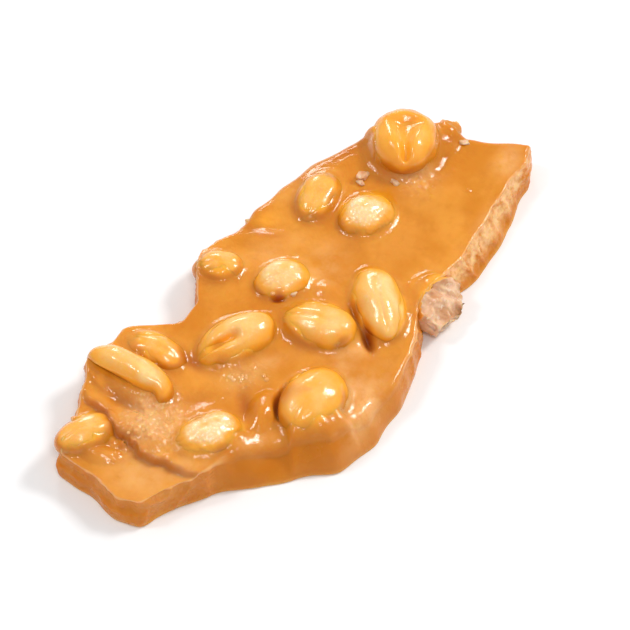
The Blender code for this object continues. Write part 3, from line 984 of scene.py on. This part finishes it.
def candy_material(groups, name, shine, roughness, body=0.5):
    """Milky amber candy over nuts; masks say where it is broken, frothed and cracked, paler with
    painted sheen, and painted with shade and light.
    """
    material, nodes, shader, place = new_material(name)
    tint = use(nodes, groups["candy"], Vector=place)
    nut = use(nodes, groups["nut"], Vector=place)
    snapped, crystal_lit_side, froth = nodes.mask("snapped"), nodes.mask("crystal_lit_side"), nodes.mask("froth")
    # Painted shade: the broken walls are mixed deeper and the poured slope browner, as walls in shade
    # look.
    tint = nodes.mix(nodes.times(snapped, 0.5), tint, CANDY_WALL_SHADE)
    tint = nodes.mix(nodes.times(nodes.mask("slope"), 0.6), tint, CANDY_BROWN)
    cloud = nodes.ramp(nodes.noise(place, 240.0, 4.0, 0.6), 0.22, 0.66)
    # Paler, pinker bloom: partly the candy's own colour, partly painted sheen and painted light.
    tint = nodes.mix(nodes.times(nodes.mask("bloom_and_sheen"), cloud), tint, CANDY_BEIGE)
    colour = use(nodes, groups["film"], Nut=nut, Candy=tint, Film=nodes.mask("cover"))
    chalk = nodes.ramp(nodes.noise(place, 520.0, 4.0, 0.65), 0.34, 0.62)
    # Chalky crystalline break: partly its own paler colour, partly painted light on the wall that
    # faces the key.
    colour = nodes.mix(nodes.times(nodes.times(crystal_lit_side, chalk), 0.9), colour, CANDY_CHALK)
    # Painted glow along the foot of the wall.
    colour = nodes.mix(nodes.times(nodes.mask("rim"), 0.6), colour, NUT)
    colour = nodes.mix(nodes.times(froth, 0.30), colour, CANDY_CHALK)
    specks = nodes.ramp(nodes.noise(place, 1300.0, 2.0), 0.56, 0.70)
    colour = nodes.mix(nodes.times(nodes.times(froth, specks), 0.5), colour, NUT_PALE)
    # Painted highlight along the broken edges.
    colour = nodes.mix(nodes.times(nodes.mask("arris_highlight"), 0.55), colour, CANDY_CHALK)
    # Painted shade in cracks and hollows, below the lip's step and round the nuts' feet.
    colour = nodes.mix(nodes.mask("painted_shade"), colour, CANDY_PAINTED_SHADE)
    nodes.feed(shader.inputs["Base Color"], colour)
    patch = nodes.ramp(nodes.noise(place, 260.0, 3.0), 0.4, 0.75)
    rough = nodes.math("MULTIPLY_ADD", patch, 0.10, roughness)
    rough = nodes.math("MULTIPLY_ADD", crystal_lit_side, 0.06, rough)
    nodes.feed(shader.inputs["Roughness"], rough)
    sugar_body(shader, body, SUGAR_DEPTH)
    shader.inputs["Specular IOR Level"].default_value = shine
    grainy = nodes.math("MAXIMUM", froth, snapped)
    bump(nodes, shader, use(nodes, groups["grain"], Vector=place, Froth=grainy), 0.00018)
    return material


def nut_material(groups):
    """A roasted kernel with a thin wet coat, its film of candy, and frost on its crown."""
    material, nodes, shader, place = new_material("coated_peanut")
    tint = use(nodes, groups["candy"], Vector=place)
    nut = use(nodes, groups["nut"], Vector=place)
    colour = nodes.mix(nodes.times(nodes.mask("groove"), 0.75), nut, NUT_DEEP)
    colour = use(nodes, groups["film"], Nut=colour, Candy=tint, Film=nodes.mask("film"))
    # Painted shade, carried on to the nut where candy covers it.
    colour = nodes.mix(nodes.mask("painted_shade"), colour, CANDY_PAINTED_SHADE)
    froth = nodes.mask("froth")
    specks = nodes.ramp(nodes.noise(place, 2000.0, 3.0, 0.6), 0.50, 0.66)
    specks = nodes.math("MULTIPLY_ADD", specks, 0.45, 0.45)
    frosted = nodes.ramp(nodes.noise(place, 300.0, 2.0), 0.30, 0.50)
    colour = nodes.mix(nodes.times(nodes.times(froth, specks), frosted), colour, FROST)
    nodes.feed(shader.inputs["Base Color"], colour)
    patch = nodes.ramp(nodes.noise(place, 300.0, 3.0), 0.4, 0.75)
    nodes.feed(shader.inputs["Roughness"], nodes.math("MULTIPLY_ADD", patch, 0.12, 0.14))
    sugar_body(shader, 0.45, SUGAR_DEPTH)
    shader.inputs["Coat Weight"].default_value = 0.25
    shader.inputs["Coat Roughness"].default_value = 0.07
    bump(nodes, shader, use(nodes, groups["grain"], Vector=place, Froth=froth), 0.00012)
    return material


def broken_nut_material(groups):
    """A kernel that is crumbly and matt where it is snapped, and under its film of candy elsewhere."""
    material, nodes, shader, place = new_material("broken_peanut")
    nut = use(nodes, groups["nut"], Vector=place)
    crumb = nodes.ramp(nodes.noise(place, 300.0, 5.0, 0.6), 0.36, 0.68)
    flesh = nodes.mix(crumb, CUT_NUT_DEEP, CUT_NUT)
    flake = nodes.ramp(nodes.noise(place, 900.0, 3.0, 0.6), 0.58, 0.72)
    flesh = nodes.mix(nodes.times(flake, 0.6), flesh, NUT_FLAKE)
    tint = use(nodes, groups["candy"], Vector=place)
    skin = use(nodes, groups["film"], Nut=nut, Candy=tint, Film=nodes.mask("film"))
    nodes.feed(shader.inputs["Base Color"], nodes.mix(nodes.mask("snapped"), skin, flesh))
    shader.inputs["Roughness"].default_value = 0.5
    sugar_body(shader, 0.3, FLESH_DEPTH)
    grainy = nodes.math("ADD", nodes.mask("snapped"), 0.1)
    bump(nodes, shader, use(nodes, groups["grain"], Vector=place, Froth=grainy), 0.00014)
    return material


# ---------------------------------------------------------------- floor, light and camera

VIEW_AZIMUTH = -38.0  # where the camera stands, in degrees round from the front
VIEW_ELEVATION = 55.0  # and above the table
CAMERA_AWAY = 0.60  # metres
LENS = 200.0
AIM = Vector((0, 0, 0.004))
TABLE_REACH = 3.0
SKY_STRENGTH = 0.525
# Lights: name, place as the viewer has it (to the right, away and up, in metres), size, power.
LIGHTS = (
    ("key", (0.60, 0.34, 0.72), 0.22, 4.3),
    ("left", (-0.55, 0.10, 0.78), 0.17, 1.6),
    ("front", (0.10, -0.40, 0.86), 0.18, 1.5),
    ("back", (-0.15, 0.95, 0.36), 0.22, 1.4),
)


def make_floor():
    """A pale table, much larger than the view."""
    mesh = bpy.data.meshes.new("floor")
    corners = [(x * TABLE_REACH, y * TABLE_REACH, 0) for x, y in ((-1, -1), (1, -1), (1, 1), (-1, 1))]
    mesh.from_pydata(corners, [], [(0, 1, 2, 3)])
    floor = bpy.data.objects.new("floor", mesh)
    bpy.context.scene.collection.objects.link(floor)
    material = bpy.data.materials.new("pale_table")
    material.use_nodes = True
    shader = material.node_tree.nodes["Principled BSDF"]
    shader.inputs["Base Color"].default_value = TABLE_WHITE
    shader.inputs["Roughness"].default_value = 0.7
    mesh.materials.append(material)


def place_at(name, what, place, back):
    """Put a light or a camera at a place, looking the opposite way to back."""
    placed = bpy.data.objects.new(name, what)
    placed.location = place
    placed.rotation_mode = "QUATERNION"
    placed.rotation_quaternion = back.to_track_quat("Z", "Y")
    bpy.context.scene.collection.objects.link(placed)
    return placed


def make_lights():
    """A white sky and square soft lights that face the piece."""
    world = bpy.data.worlds.new("studio")
    bpy.context.scene.world = world
    world.use_nodes = True
    sky = world.node_tree.nodes["Background"]
    sky.inputs["Color"].default_value = (1.0, 1.0, 1.0, 1)
    sky.inputs["Strength"].default_value = SKY_STRENGTH
    turn = math.radians(VIEW_AZIMUTH)
    for name, (right, away, up), size, power in LIGHTS:
        light = bpy.data.lights.new(name, "AREA")
        light.size = size
        light.energy = power
        place = Vector((
            right * math.cos(turn) - away * math.sin(turn),
            right * math.sin(turn) + away * math.cos(turn),
            up,
        ))
        place_at(name, light, place, place)


def make_camera():
    """A long lens that looks at the piece from its azimuth and elevation."""
    camera = bpy.data.cameras.new("camera")
    camera.lens = LENS
    turn, rise = math.radians(VIEW_AZIMUTH), math.radians(VIEW_ELEVATION)
    level = math.cos(rise)
    back = Vector((math.sin(turn) * level, -math.cos(turn) * level, math.sin(rise)))
    bpy.context.scene.camera = place_at("camera", camera, AIM + back * CAMERA_AWAY, back)


# ---------------------------------------------------------------- the piece

def main():
    """Make the candy, the sixteen kernels, the bubbles and the chips, and light them."""
    bpy.context.scene.view_settings.view_transform = "Standard"
    groups = {
        "candy": tint_group(
            "candy_tint", CANDY, CANDY_PALE, CANDY_DEEP,
            slow=(110.0, 4.0, 0.55, 0.36, 0.68), fine=(420.0, 3.0, 0.6, 0.45, 0.75), share=0.25),
        "nut": tint_group(
            "nut_tint", NUT, NUT_PALE, NUT_DEEP,
            slow=(160.0, 3.0, 0.5, 0.4, 0.72), fine=(620.0, 4.0, 0.6, 0.48, 0.74), share=0.30),
        "film": film_group(),
        "grain": grain_group(),
    }
    poured = candy_material(groups, "poured_candy", shine=0.5, roughness=0.10)
    sides = candy_material(groups, "candy_sides", shine=0.25, roughness=0.20)
    skins = candy_material(groups, "candy_bubbles", shine=0.6, roughness=0.06, body=0.0)
    nut_skin, nut_inside = nut_material(groups), broken_nut_material(groups)
    points, masks = candy_surface()
    candy = grid_mesh("candy", points, COLUMNS, masks, poured, "candy_slab", "candy")
    candy.data.materials.append(sides)
    show_sides(candy.data)
    for number, nut in enumerate(PEANUTS, start=1):
        points, masks = kernel_surface(nut, 100 * number)
        grid_mesh(
            f"kernel_{number:02d}", points, NUT_AROUND, masks,
            nut_inside if nut.snapped else nut_skin, f"peanut_{number:02d}",
            "broken_nut" if nut.snapped else "coated_nut")
    grids_mesh("bubbles", *beads_surface(), skins, "candy", MERGE_CRUMBS)
    grids_mesh("nut_chips", chips_surface(), {"snapped": 1.0}, nut_inside, "broken_nut", MERGE_CRUMBS)
    make_floor()
    make_lights()
    make_camera()


main()
